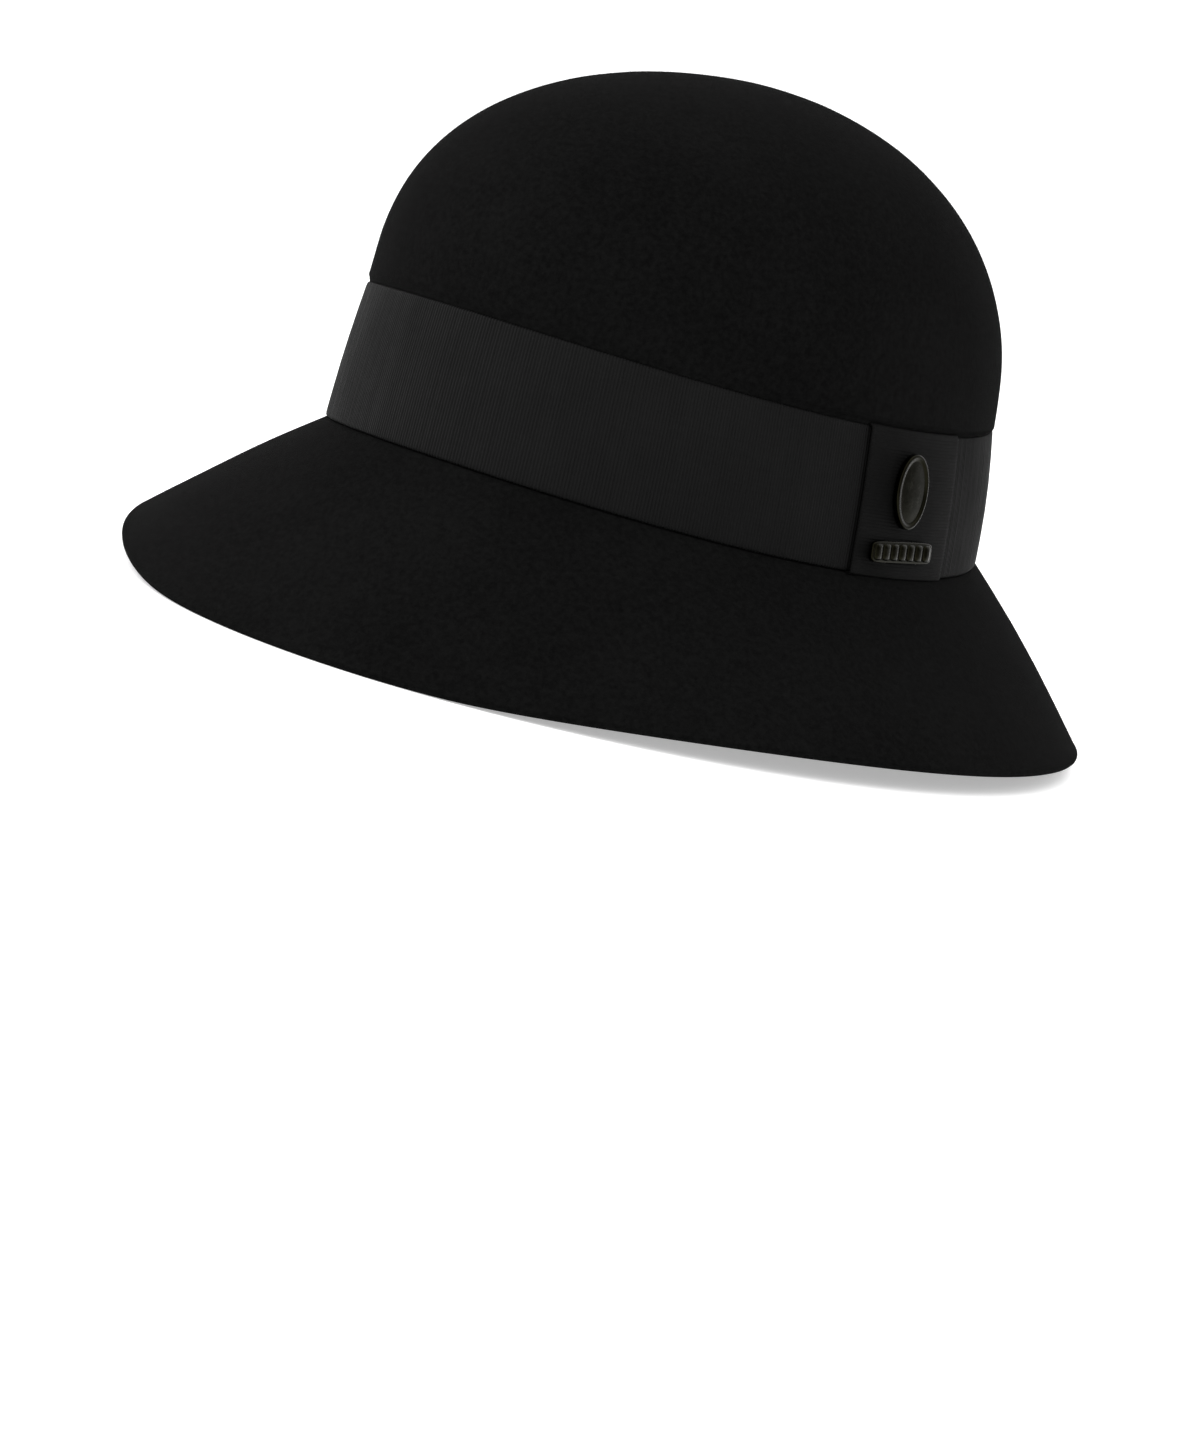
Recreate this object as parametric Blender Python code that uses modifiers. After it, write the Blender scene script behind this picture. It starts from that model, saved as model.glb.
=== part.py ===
"""Felt cloche hat resting on its brim: one blocked felt body, a ribbed ribbon band,
a ribbon keeper wrapped over the band, and a plain two-piece metal badge.

The front faces -Y, the wearer's left is +X, and the hat stands on Z = 0 on the front and
back of its rim, which lifts a little at the sides.
Angles run from the front towards the wearer's left.
"""
import math

import bmesh
import bpy
from mathutils import Matrix, Vector

# Ribbon band: an egg-shaped oval that flares towards its foot.
BAND_HEIGHT = 0.0384
BAND_HALF_LENGTH = 0.1005
BAND_HALF_WIDTH = 0.0845
BAND_FLARE = 0.0042
BAND_SHIFT = -0.0012
FRONT_NARROWING = 0.03
RIBBON_THICKNESS = 0.0010

# Crown above the band.
CROWN_RISE = 0.0784
CROWN_LEAN = 0.0060
SHOULDER_POWER = 2.37
SHOULDER_SWING = 0.35
CROWN_PLAN_POWER = 1.98

# Brim below the band. The break dips at the sides and lifts at the front and back.
BREAK_HEIGHT = 0.0495
BREAK_SWING = 0.0028
BRIM_REACH = 0.0446
BRIM_REACH_FRONT = 0.0056
BRIM_REACH_SIDES = 0.0040
BRIM_REACH_CORNERS = 0.0015
BRIM_BELL = 0.0005
BRIM_BELL_LOW = -0.0004
RIM_LIFT = 0.0033
RIM_FLAT = 0.00026
ROLL_HEIGHT = 0.0022
ROLL_REACH = 0.0007
EDGE_CHAMFER = 0.0006

# The brim reaches further at the front, so the plan moves back to put the rim's middle on the origin.
PLAN_MIDDLE = BRIM_REACH_FRONT

# Felt wall and the gap that neighbouring pieces keep.
FELT_WALL = 0.0022
GAP = 0.0003
BAND_FOOT_LIFT = 0.0004
GROOVE_HEIGHT = 0.0020

# Keeper and badge on the wearer's left side.
KEEPER_ANGLE = math.radians(90.5)
KEEPER_HALF_ANGLE = math.radians(12.0)
KEEPER_FOOT_LIFT = -0.0001
BADGE_ANGLE = math.radians(89.0)
PLATE_WIDTH = 0.0135
PLATE_HEIGHT = 0.0205
PLATE_LEVEL = 0.60
BAR_WIDTH = 0.0265
BAR_HEIGHT = 0.0060
BAR_LEVEL = 0.17
BADGE_THICKNESS = 0.0018
BADGE_BEVEL = 0.0005

# How finely the round forms are divided.
COLUMNS = 64
KEEPER_COLUMNS = 12
CROWN_STEPS = (0.93, 0.83, 0.71, 0.59, 0.47, 0.36, 0.26, 0.17, 0.10, 0.05)
BRIM_STEPS = (0.12, 0.26, 0.42, 0.58, 0.73, 0.87, 1.0)
ROLL_STEPS = (0.5, 1.0)
PLATE_SEGMENTS = 32


def clear_scene():
    for existing in list(bpy.data.objects):
        bpy.data.objects.remove(existing, do_unlink=True)


def make_material(name, colour, roughness, metallic=0.0):
    material = bpy.data.materials.new(name)
    material.use_nodes = True
    shader = material.node_tree.nodes["Principled BSDF"]
    shader.inputs["Base Color"].default_value = (*colour, 1.0)
    shader.inputs["Roughness"].default_value = roughness
    shader.inputs["Metallic"].default_value = metallic
    return material


def oval_point(angle, level):
    """Plan of the band's outer face, from its foot at level 0 to its top at level 1."""
    flare = BAND_FLARE * (1.0 - level)
    narrowing = 1.0 - FRONT_NARROWING * math.cos(angle)
    x = (BAND_HALF_WIDTH + flare) * math.sin(angle) * narrowing
    y = -(BAND_HALF_LENGTH + flare) * math.cos(angle) + BAND_SHIFT * level + PLAN_MIDDLE
    return Vector((x, y, 0.0))


def outward_normal(angle):
    """Horizontal direction square to the oval."""
    across = math.cos(angle) - FRONT_NARROWING * math.cos(2.0 * angle)
    return Vector((BAND_HALF_LENGTH * math.sin(angle), -BAND_HALF_WIDTH * across, 0.0)).normalized()


def break_height(angle):
    return BREAK_HEIGHT + BREAK_SWING * math.cos(2.0 * angle)


def band_point(angle, level, proud=0.0, lift=0.0):
    """A point at a distance proud of the band's outer face."""
    point = oval_point(angle, level) + outward_normal(angle) * proud
    point.z = break_height(angle) + BAND_HEIGHT * level + lift
    return point


def crown_point(angle, step):
    """Crown from the band's top at step 0 to the tip at step 1, on superellipse shoulders."""
    quarter = step * math.pi / 2.0
    power = SHOULDER_POWER + SHOULDER_SWING * math.cos(angle)
    rise = math.sin(quarter) ** (2.0 / power)
    spread = max(math.cos(quarter), 0.0) ** (2.0 / CROWN_PLAN_POWER)
    narrowing = 1.0 - FRONT_NARROWING * math.cos(angle)
    foot = break_height(angle) + BAND_HEIGHT
    tip = BREAK_HEIGHT + BAND_HEIGHT + CROWN_RISE
    x = BAND_HALF_WIDTH * spread * math.sin(angle) * narrowing
    y = -BAND_HALF_LENGTH * spread * math.cos(angle) + BAND_SHIFT + PLAN_MIDDLE
    return Vector((x, y + CROWN_LEAN * rise * rise, foot + (tip - foot) * rise))


def rim_height(angle):
    """Height of the rim's underside: flat on the table at front and back, lifted at the sides."""
    return max(RIM_LIFT * (1.0 - math.cos(2.0 * angle)) - RIM_FLAT, 0.0)


def brim_reach(angle):
    reach = BRIM_REACH + BRIM_REACH_FRONT * math.cos(angle) - BRIM_REACH_SIDES * math.cos(2.0 * angle)
    return reach + BRIM_REACH_CORNERS * math.cos(4.0 * angle)


def brim_point(angle, step):
    """Sloping brim, from the band's foot at step 0 to the start of the rounded rim at step 1."""
    reach = brim_reach(angle)
    point = oval_point(angle, 0.0) + outward_normal(angle) * (reach * step)
    top = break_height(angle) - GAP
    bell = 4.0 * step * (1.0 - step) * (BRIM_BELL + BRIM_BELL_LOW * (2.0 * step - 1.0))
    point.z = top + (rim_height(angle) + ROLL_HEIGHT - top) * step + bell
    return point


def roll_point(angle, step):
    """Rounded rim: the brim's last two millimetres turn down to the vertical."""
    start = brim_point(angle, 1.0)
    outward = outward_normal(angle)
    corner = start + outward * ROLL_REACH - Vector((0.0, 0.0, ROLL_HEIGHT * 0.8))
    end = start + outward * ROLL_REACH
    end.z = rim_height(angle) + EDGE_CHAMFER
    return start * (1.0 - step) ** 2 + corner * (2.0 * step * (1.0 - step)) + end * step ** 2


def felt_outer_line(angle):
    """Outer face of the felt at one angle, from near the tip of the crown to the rim."""
    inset = -(RIBBON_THICKNESS + GAP)
    line = [crown_point(angle, step) for step in CROWN_STEPS]
    line.append(band_point(angle, 1.0, -GAP / 2.0, GROOVE_HEIGHT))
    line.append(band_point(angle, 1.0, inset, GAP))
    line.append(band_point(angle, 0.5, inset))
    line.append(band_point(angle, 0.0, inset))
    line.append(brim_point(angle, 0.0))
    line += [brim_point(angle, step) for step in BRIM_STEPS]
    line += [roll_point(angle, step) for step in ROLL_STEPS]
    return line


def inner_rings(rings):
    """The felt's inner face: every outer point moved inwards by the wall's thickness."""
    moved = []
    for index, ring in enumerate(rings):
        above = rings[max(index - 1, 0)]
        below = rings[min(index + 1, len(rings) - 1)]
        inner = []
        for column, point in enumerate(ring):
            around = ring[(column + 1) % COLUMNS] - ring[column - 1]
            down = below[column] - above[column]
            inner.append(point - down.cross(around).normalized() * FELT_WALL)
        moved.append(inner)
    return moved


def add_ring_faces(mesh, upper, lower):
    count = len(upper)
    for column in range(count):
        following = (column + 1) % count
        mesh.faces.new((upper[column], lower[column], lower[following], upper[following]))


def add_tip_faces(mesh, tip, ring):
    for column in range(len(ring)):
        mesh.faces.new((tip, ring[column], ring[(column + 1) % len(ring)]))


def finish_object(name, mesh, material, collection):
    data = bpy.data.meshes.new(name)
    mesh.to_mesh(data)
    mesh.free()
    data.materials.append(material)
    data.shade_smooth()
    data.set_sharp_from_angle(angle=math.radians(40.0))
    made = bpy.data.objects.new(name, data)
    collection.objects.link(made)
    return made


def add_felt_body(collection):
    """Crown and brim in one blocked piece: a loft between unlike ovals with an even wall."""
    angles = [2.0 * math.pi * column / COLUMNS for column in range(COLUMNS)]
    lines = [felt_outer_line(angle) for angle in angles]
    outer = [[line[row] for line in lines] for row in range(len(lines[0]))]
    inner = inner_rings(outer)
    for point, angle in zip(inner[-1], angles):
        point.z = rim_height(angle)
    sole = [
        Vector((point.x, point.y, rim_height(angle))) - outward_normal(angle) * EDGE_CHAMFER
        for point, angle in zip(outer[-1], angles)
    ]
    tip = crown_point(0.0, 1.0)
    mesh = bmesh.new()
    outer_tip = mesh.verts.new(tip)
    inner_tip = mesh.verts.new(tip - Vector((0.0, 0.0, FELT_WALL)))
    rings = outer + [sole] + inner[::-1]
    rows = [[mesh.verts.new(point) for point in ring] for ring in rings]
    add_tip_faces(mesh, outer_tip, rows[0])
    for upper, lower in zip(rows, rows[1:]):
        add_ring_faces(mesh, upper, lower)
    add_tip_faces(mesh, inner_tip, rows[-1][::-1])
    return finish_object("felt_body", mesh, make_material("black_felt", (0.008, 0.008, 0.008), 0.95), collection)


def add_cloth_wall(made, outwards):
    """Give an open strip its cloth thickness, inwards or outwards."""
    wall = made.modifiers.new("cloth", "SOLIDIFY")
    wall.thickness = RIBBON_THICKNESS
    wall.offset = 1.0 if outwards else -1.0
    wall.use_even_offset = True
    return made


def add_ribbon_band(collection, material):
    """Ribbed ribbon round the foot of the crown, joined into a ring under the keeper."""
    angles = [2.0 * math.pi * column / COLUMNS for column in range(COLUMNS)]
    mesh = bmesh.new()
    top = [mesh.verts.new(band_point(angle, 1.0)) for angle in angles]
    middle = [mesh.verts.new(band_point(angle, 0.5)) for angle in angles]
    foot = [mesh.verts.new(band_point(angle, 0.0, 0.0, BAND_FOOT_LIFT)) for angle in angles]
    add_ring_faces(mesh, top, middle)
    add_ring_faces(mesh, middle, foot)
    return add_cloth_wall(finish_object("ribbon_band", mesh, material, collection), False)


def add_ribbon_keeper(collection, material):
    """Short upright length of the same ribbon, wrapped over the band where its ends meet."""
    first = KEEPER_ANGLE - KEEPER_HALF_ANGLE
    angles = [first + 2.0 * KEEPER_HALF_ANGLE * column / KEEPER_COLUMNS for column in range(KEEPER_COLUMNS + 1)]
    mesh = bmesh.new()
    rows = [
        [mesh.verts.new(band_point(angle, 1.0, GAP, GAP)) for angle in angles],
        [mesh.verts.new(band_point(angle, 0.5, GAP)) for angle in angles],
        [mesh.verts.new(band_point(angle, 0.0, GAP, KEEPER_FOOT_LIFT)) for angle in angles],
    ]
    for upper, lower in zip(rows, rows[1:]):
        for column in range(KEEPER_COLUMNS):
            mesh.faces.new((upper[column], lower[column], lower[column + 1], upper[column + 1]))
    return add_cloth_wall(finish_object("ribbon_keeper", mesh, material, collection), True)


def badge_seat(level):
    """Frame on the keeper's outer face: X along the band, Y up the band, Z outwards."""
    proud = RIBBON_THICKNESS + 2.0 * GAP
    seat = band_point(BADGE_ANGLE, level, proud)
    up = (band_point(BADGE_ANGLE, 1.0) - band_point(BADGE_ANGLE, 0.0)).normalized()
    along = up.cross(outward_normal(BADGE_ANGLE)).normalized()
    out = along.cross(up)
    turn = Matrix((along, up, out)).transposed().to_4x4()
    return Matrix.Translation(seat) @ turn @ Matrix.Translation((0.0, 0.0, BADGE_THICKNESS / 2.0))


def add_badge_bevel(made):
    bevel = made.modifiers.new("edge", "BEVEL")
    bevel.width = BADGE_BEVEL
    bevel.segments = 2
    bevel.limit_method = "ANGLE"
    return made


def add_badge_plate(collection, material):
    """Upright oval metal plate, the upper half of the badge."""
    mesh = bmesh.new()
    size = Matrix.Diagonal((PLATE_WIDTH, PLATE_HEIGHT, BADGE_THICKNESS, 1.0))
    bmesh.ops.create_cone(
        mesh, cap_ends=True, segments=PLATE_SEGMENTS, radius1=0.5, radius2=0.5, depth=1.0, matrix=size
    )
    made = finish_object("badge_plate", mesh, material, collection)
    made.matrix_world = badge_seat(PLATE_LEVEL)
    return add_badge_bevel(made)


def add_badge_bar(collection, material):
    """Plain level metal bar, the lower half of the badge."""
    mesh = bmesh.new()
    bmesh.ops.create_cube(mesh, size=1.0, matrix=Matrix.Diagonal((BAR_WIDTH, BAR_HEIGHT, BADGE_THICKNESS, 1.0)))
    made = finish_object("badge_bar", mesh, material, collection)
    made.matrix_world = badge_seat(BAR_LEVEL)
    return add_badge_bevel(made)


def build_hat():
    clear_scene()
    collection = bpy.data.collections.new("cloche_hat")
    bpy.context.scene.collection.children.link(collection)
    ribbon = make_material("black_ribbed_ribbon", (0.016, 0.016, 0.016), 0.7)
    metal = make_material("dark_gunmetal", (0.03, 0.028, 0.024), 0.28, 1.0)
    add_felt_body(collection)
    add_ribbon_band(collection, ribbon)
    add_ribbon_keeper(collection, ribbon)
    add_badge_plate(collection, metal)
    add_badge_bar(collection, metal)


build_hat()
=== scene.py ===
"""Black felt cloche hat, seen from the wearer's front left, resting on its brim."""

import math

import bpy
import numpy as np
from mathutils import Matrix, Vector, noise


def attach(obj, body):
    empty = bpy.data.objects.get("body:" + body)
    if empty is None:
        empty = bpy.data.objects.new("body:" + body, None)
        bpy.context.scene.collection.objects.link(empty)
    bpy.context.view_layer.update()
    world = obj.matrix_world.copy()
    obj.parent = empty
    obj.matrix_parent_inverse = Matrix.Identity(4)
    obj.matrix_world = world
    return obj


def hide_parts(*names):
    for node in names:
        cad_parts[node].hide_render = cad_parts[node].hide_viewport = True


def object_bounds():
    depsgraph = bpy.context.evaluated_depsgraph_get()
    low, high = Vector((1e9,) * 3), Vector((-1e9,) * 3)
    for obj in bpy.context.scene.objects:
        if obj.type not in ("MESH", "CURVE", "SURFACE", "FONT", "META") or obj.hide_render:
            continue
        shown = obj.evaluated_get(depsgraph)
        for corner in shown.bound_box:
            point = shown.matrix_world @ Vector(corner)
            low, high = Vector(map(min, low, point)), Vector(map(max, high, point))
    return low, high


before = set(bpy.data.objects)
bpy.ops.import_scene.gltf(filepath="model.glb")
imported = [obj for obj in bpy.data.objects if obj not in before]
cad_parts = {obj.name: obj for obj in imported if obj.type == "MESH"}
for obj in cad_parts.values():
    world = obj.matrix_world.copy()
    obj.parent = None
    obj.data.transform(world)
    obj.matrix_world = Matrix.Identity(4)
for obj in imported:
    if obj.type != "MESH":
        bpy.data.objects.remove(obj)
cad_low, cad_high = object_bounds()


# ---------------------------------------------------------------------------------------
# Felt body. Crown and brim are one cone of black wool felt, steamed and pulled over a
# block, so there is no seam. The foot of the crown is drawn in under the ribbon. The brim's
# raw edge is rounded over, and stands on the table in front and all but touches it behind.
# ---------------------------------------------------------------------------------------
BAND_HEIGHT = 0.0384
BAND_HALF_LENGTH = 0.1005
BAND_HALF_WIDTH = 0.0845
BAND_FLARE = 0.0042
BAND_SHIFT = -0.0012
FRONT_NARROWING = 0.03
BAND_SWELL = 0.0004
BAND_SWELL_BACK = 0.0005
BAND_BACK_START = 0.1
BREAK_HEIGHT = 0.0495
BREAK_SWING = 0.0028
BREAK_DROP = 0.0008

CROWN_LEAN = 0.0060
SHOULDER_POWER = 2.37
SHOULDER_SWING = 0.35
CROWN_PLAN_POWER = 1.98
CROWN_FOOT_FLARE = 0.0006
CROWN_FOOT_FLARE_HEIGHT = 0.0140
CROWN_ROW_CROWDING = 1.25

BRIM_REACH = 0.0446
BRIM_REACH_FRONT = 0.0056
BRIM_REACH_SIDES = 0.0040
BRIM_REACH_CORNERS = 0.0015
BRIM_BELL = 0.0013
BRIM_BELL_LOW = -0.0002
BRIM_REACH_BACK = 0.0010
BRIM_REACH_TWIST = 0.0005
BRIM_DROOP_BACK = 0.0007
DROOP_START = 0.3
DROOP_POWER = 1.5
DROOP_GAIN = 5.4
# the rim's mean rise, then the parts that come once to four times round
RIM_LIFT = (0.0031, 0.0004, -0.0036, -0.0011, -0.0006)
RIM_LEAN = 0.0008
RIM_TWIST = 0.0009
RIM_SOFTNESS = 0.0008
RIM_SETTLE = 0.00012
ROLL_HEIGHT = 0.0022
ROLL_REACH = 0.0007
ROLL_CORNER = 0.8

FELT_WALL = 0.0022
FELT_UNDER_RIBBON = -0.0012
# rows of felt at the ribbon's top, behind it and at its foot, with their share of the set-in
CROWN_FOOT_ROWS = (
    (0.0015, -0.2), (0.0009, -0.03), (0.0005, 0.12),
    (0.0002, 0.22), (-0.0002, 0.5), (-0.0006, 1.0),
)
UNDER_RIBBON_ROWS = (-0.0010, -0.0060, -0.0130, -0.0200, -0.0270, -0.0330)
BREAK_ROWS = ((0.0010, 1.0), (0.0002, 0.98), (-0.0004, 0.88), (-0.0007, 0.6), (-BREAK_DROP, 0.3))
FELT_COLUMNS = 288
CROWN_ROWS = 64
BRIM_ROWS = 44
ROLL_ROWS = 8
EDGE_ROWS = 7
INSIDE_ROW_STEP = 2
SWELL_DEPTH = 0.00030
SWELL_SCALE = 22.0
SWELL_CLEAR_OF_RIBBON = 0.58
SWELL_FADE = 0.3
SWELL_FADE_AT_RIM = 0.012
RIPPLE_DEPTH = 0.00007
RIPPLE_SCALE = 95.0
NAP_LENGTH = 0.0013
NAP_THICKNESS = 0.00002
NAP_FIBRES = 225000.0
NAP_SIZES = (0.5, 1.0)
NAP_LEAN = (1.15, 1.5)
NAP_SEED = 11
NAP_LEAN_SEED = 5
WOOL_DARK = (0.0027, 0.0027, 0.0027)
WOOL_LIGHT = (0.0061, 0.0062, 0.0061)
WOOL_ROUGHNESS = (0.86, 1.0)
WOOL_SHINE = 1.06
WOOL_SHEEN = 0.005
WOOL_SHEEN_TINT = (0.9, 0.92, 0.9, 1.0)
WOOL_RELIEF = 0.0004
GRAIN_SCALE = 1400.0
FIBRE_SCALE = 520.0
TUFT_SCALE = 680.0
CLOUD_SCALE = 26.0
NOISE_SPAN = (0.3, 0.7)
GRAIN_SPAN = (0.4, 0.6)
WANDER_SCALE = 160.0
FIBRE_STRETCH = 3.2
FIBRE_RELIEF = 0.8
CLOUD_SHADE = 0.2
FIBRE_SHADE = 0.3
TUFT_SHADE = 0.5


def oval(angle, level):
    """Plan of the ribbon's outer face at its foot (level 0) or top (level 1), front at -Y."""
    flare = BAND_FLARE * (1.0 - level)
    x = (BAND_HALF_WIDTH + flare) * np.sin(angle) * (1.0 - FRONT_NARROWING * np.cos(angle))
    y = -(BAND_HALF_LENGTH + flare) * np.cos(angle) + BAND_SHIFT * level + BRIM_REACH_FRONT
    return np.stack([x, y, np.zeros_like(x)], axis=-1)


def outward(angle):
    """Level direction square to the oval."""
    across = np.cos(angle) - FRONT_NARROWING * np.cos(2.0 * angle)
    way = np.stack([BAND_HALF_LENGTH * np.sin(angle), -BAND_HALF_WIDTH * across, 0.0 * angle], axis=-1)
    return way / np.linalg.norm(way, axis=-1, keepdims=True)


def on_band(angle, rise, proud):
    """A point at a height above the ribbon's foot and a distance proud of its outer face."""
    angle, rise, proud = np.broadcast_arrays(np.asarray(angle, float), rise, proud)
    back = np.clip((BAND_BACK_START - np.cos(angle)) / (1.0 - BAND_BACK_START), 0.0, 1.0)
    fullness = BAND_SWELL + BAND_SWELL_BACK * back * back * (3.0 - 2.0 * back)
    swell = fullness * np.sin(math.pi * np.clip(rise / BAND_HEIGHT, 0.0, 1.0))
    point = oval(angle, rise / BAND_HEIGHT) + outward(angle) * (proud + swell)[..., None]
    point[..., 2] = BREAK_HEIGHT + BREAK_SWING * np.cos(2.0 * angle) + rise
    return point


def crown_ring(angle, step):
    """Crown from the ribbon's top at step 0 to the tip at step 1, on superellipse shoulders."""
    quarter = step * math.pi / 2.0
    rise = math.sin(quarter) ** (2.0 / (SHOULDER_POWER + SHOULDER_SWING * np.cos(angle)))
    width = max(math.cos(quarter), 0.0) ** (2.0 / CROWN_PLAN_POWER)
    foot = BREAK_HEIGHT + BREAK_SWING * np.cos(2.0 * angle) + BAND_HEIGHT
    x = BAND_HALF_WIDTH * width * np.sin(angle) * (1.0 - FRONT_NARROWING * np.cos(angle))
    y = -BAND_HALF_LENGTH * width * np.cos(angle)
    y = y + BAND_SHIFT + BRIM_REACH_FRONT + CROWN_LEAN * rise ** 2
    return np.stack([x, y, foot + (cad_high.z - foot) * rise], axis=-1)


def rim_height(angle):
    """Height of the rim's underside: on the table in front, close to it behind, up at the sides."""
    lift = sum(share * np.cos(order * angle) for order, share in enumerate(RIM_LIFT))
    lift = lift - RIM_LEAN * np.sin(angle) - RIM_TWIST * np.sin(2.0 * angle)
    eased = (lift + np.sqrt(lift ** 2 + RIM_SOFTNESS ** 2)) / 2.0
    return np.maximum(eased - RIM_SETTLE, 0.0)


def brim_ring(angle, step):
    """Sloping brim from the ribbon's foot at step 0 to the start of its rounded edge."""
    reach = BRIM_REACH + BRIM_REACH_FRONT * np.cos(angle) - BRIM_REACH_SIDES * np.cos(2.0 * angle)
    reach += BRIM_REACH_CORNERS * np.cos(4.0 * angle) - BRIM_REACH_BACK * np.cos(3.0 * angle)
    reach -= BRIM_REACH_TWIST * np.sin(2.0 * angle)
    point = oval(angle, 0.0) + outward(angle) * (reach * step)[..., None]
    top = BREAK_HEIGHT + BREAK_SWING * np.cos(2.0 * angle) - BREAK_DROP
    bell = 4.0 * step * (1.0 - step) * (BRIM_BELL + BRIM_BELL_LOW * (2.0 * step - 1.0))
    # a hump of height 1 at six tenths of the way down
    droop = DROOP_GAIN * step ** DROOP_POWER * (1.0 - step)
    bell += BRIM_DROOP_BACK * droop * np.clip(DROOP_START - np.cos(angle), 0.0, 1.0)
    point[:, 2] = top + (rim_height(angle) + ROLL_HEIGHT - top) * step + bell
    return point


def felt_outer_rings(angle):
    rings = []
    for row in range(CROWN_ROWS):
        step = 1.0 - (row + 1.0) / (CROWN_ROWS + 1.0)
        ring = crown_ring(angle, step ** CROWN_ROW_CROWDING)
        above = ring[:, 2:] - on_band(angle, BAND_HEIGHT, 0.0)[:, 2:]
        flare = np.clip(1.0 - above / CROWN_FOOT_FLARE_HEIGHT, 0.0, 1.0)
        rings.append(ring + outward(angle) * CROWN_FOOT_FLARE * flare ** 2)
    for rise, proud in CROWN_FOOT_ROWS:
        rings.append(on_band(angle, BAND_HEIGHT + rise, FELT_UNDER_RIBBON * proud))
    for rise in UNDER_RIBBON_ROWS:
        rings.append(on_band(angle, BAND_HEIGHT + rise, FELT_UNDER_RIBBON))
    for rise, proud in BREAK_ROWS:
        rings.append(on_band(angle, rise, FELT_UNDER_RIBBON * proud))
    for row in range(BRIM_ROWS):
        rings.append(brim_ring(angle, np.full_like(angle, row / (BRIM_ROWS - 1.0))))
    return rings


def felt_roll_rings(angle, start):
    """The last millimetres of the brim turn down, then the raw edge is rounded underneath."""
    half_wall = FELT_WALL / 2.0
    way = outward(angle)
    under = rim_height(angle)
    end = start + way * ROLL_REACH
    end[:, 2] = under + half_wall
    corner = end.copy()
    corner[:, 2] = under + ROLL_HEIGHT * ROLL_CORNER
    rings = []
    for row in range(1, ROLL_ROWS + 1):
        step = row / ROLL_ROWS
        rings.append(start * (1.0 - step) ** 2 + corner * 2.0 * step * (1.0 - step) + end * step ** 2)
    edge = []
    for row in range(1, EDGE_ROWS):
        turn = math.pi * row / EDGE_ROWS
        ring = end - way * half_wall * (1.0 - math.cos(turn))
        ring[:, 2] = under + half_wall * (1.0 - math.sin(turn))
        edge.append(ring)
    return rings, edge


def unevenness(point):
    """Hand blocking leaves the felt a little uneven: broad swells and a fainter short ripple."""
    where = Vector(point)
    swell = SWELL_DEPTH * noise.noise(where * SWELL_SCALE)
    return swell + RIPPLE_DEPTH * noise.noise(where * RIPPLE_SCALE)


def rings_normals(rings):
    around = np.roll(rings, -1, axis=1) - np.roll(rings, 1, axis=1)
    down = np.empty_like(rings)
    down[1:-1] = rings[2:] - rings[:-2]
    down[0] = rings[1] - rings[0]
    down[-1] = rings[-1] - rings[-2]
    square = np.cross(down, around)
    return square / np.linalg.norm(square, axis=-1, keepdims=True)


def shell_from_rings(rings, first_tip, last_tip):
    """Closed rings of points joined by quads, with a fan to a tip at either end."""
    rows, columns = len(rings), len(rings[0])
    points = np.concatenate([*rings, np.array([first_tip, last_tip])])
    index = np.arange(rows * columns).reshape(rows, columns)
    turned = np.roll(index, -1, axis=1)
    quads = np.stack([index[:-1], index[1:], turned[1:], turned[:-1]], axis=-1).reshape(-1, 4)
    faces = [tuple(face) for face in quads.tolist()]
    tip = rows * columns
    faces += [(tip, a, b) for a, b in zip(index[0].tolist(), turned[0].tolist())]
    faces += [(tip + 1, b, a) for a, b in zip(index[-1].tolist(), turned[-1].tolist())]
    return points, faces


def mesh_from_shells(name, shells):
    """One smooth mesh object of one or more closed shells."""
    points, faces = [], []
    for shell_points, shell_faces in shells:
        start = len(points)
        points += shell_points.tolist()
        faces += [tuple(start + corner for corner in face) for face in shell_faces]
    mesh = bpy.data.meshes.new(name)
    mesh.from_pydata(points, [], faces)
    mesh.shade_smooth()
    piece = bpy.data.objects.new(name, mesh)
    bpy.context.scene.collection.objects.link(piece)
    return piece


def socket_id(tree, name):
    for item in tree.interface.items_tree:
        if item.item_type == "SOCKET" and item.in_out == "INPUT" and item.name == name:
            return item.identifier
    raise KeyError(name)


def store(mesh, name, kind, values):
    attribute = mesh.attributes.new(name, kind, "POINT")
    field = "value" if kind == "FLOAT" else "vector"
    attribute.data.foreach_set(field, np.asarray(values, np.float32).ravel())


def run_tree(piece, tree, **values):
    """Runs a Geometry Nodes tree once and keeps its result as a plain mesh."""
    modifier = piece.modifiers.new("build", "NODES")
    modifier.node_group = tree
    for name, value in values.items():
        modifier[socket_id(tree, name.replace("_", " "))] = value
    bpy.context.view_layer.update()
    depsgraph = bpy.context.evaluated_depsgraph_get()
    evaluated = piece.evaluated_get(depsgraph)
    mesh = bpy.data.meshes.new_from_object(evaluated, preserve_all_data_layers=True, depsgraph=depsgraph)
    piece.modifiers.remove(modifier)
    piece.data = mesh
    mesh.name = piece.name
    return piece


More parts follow.
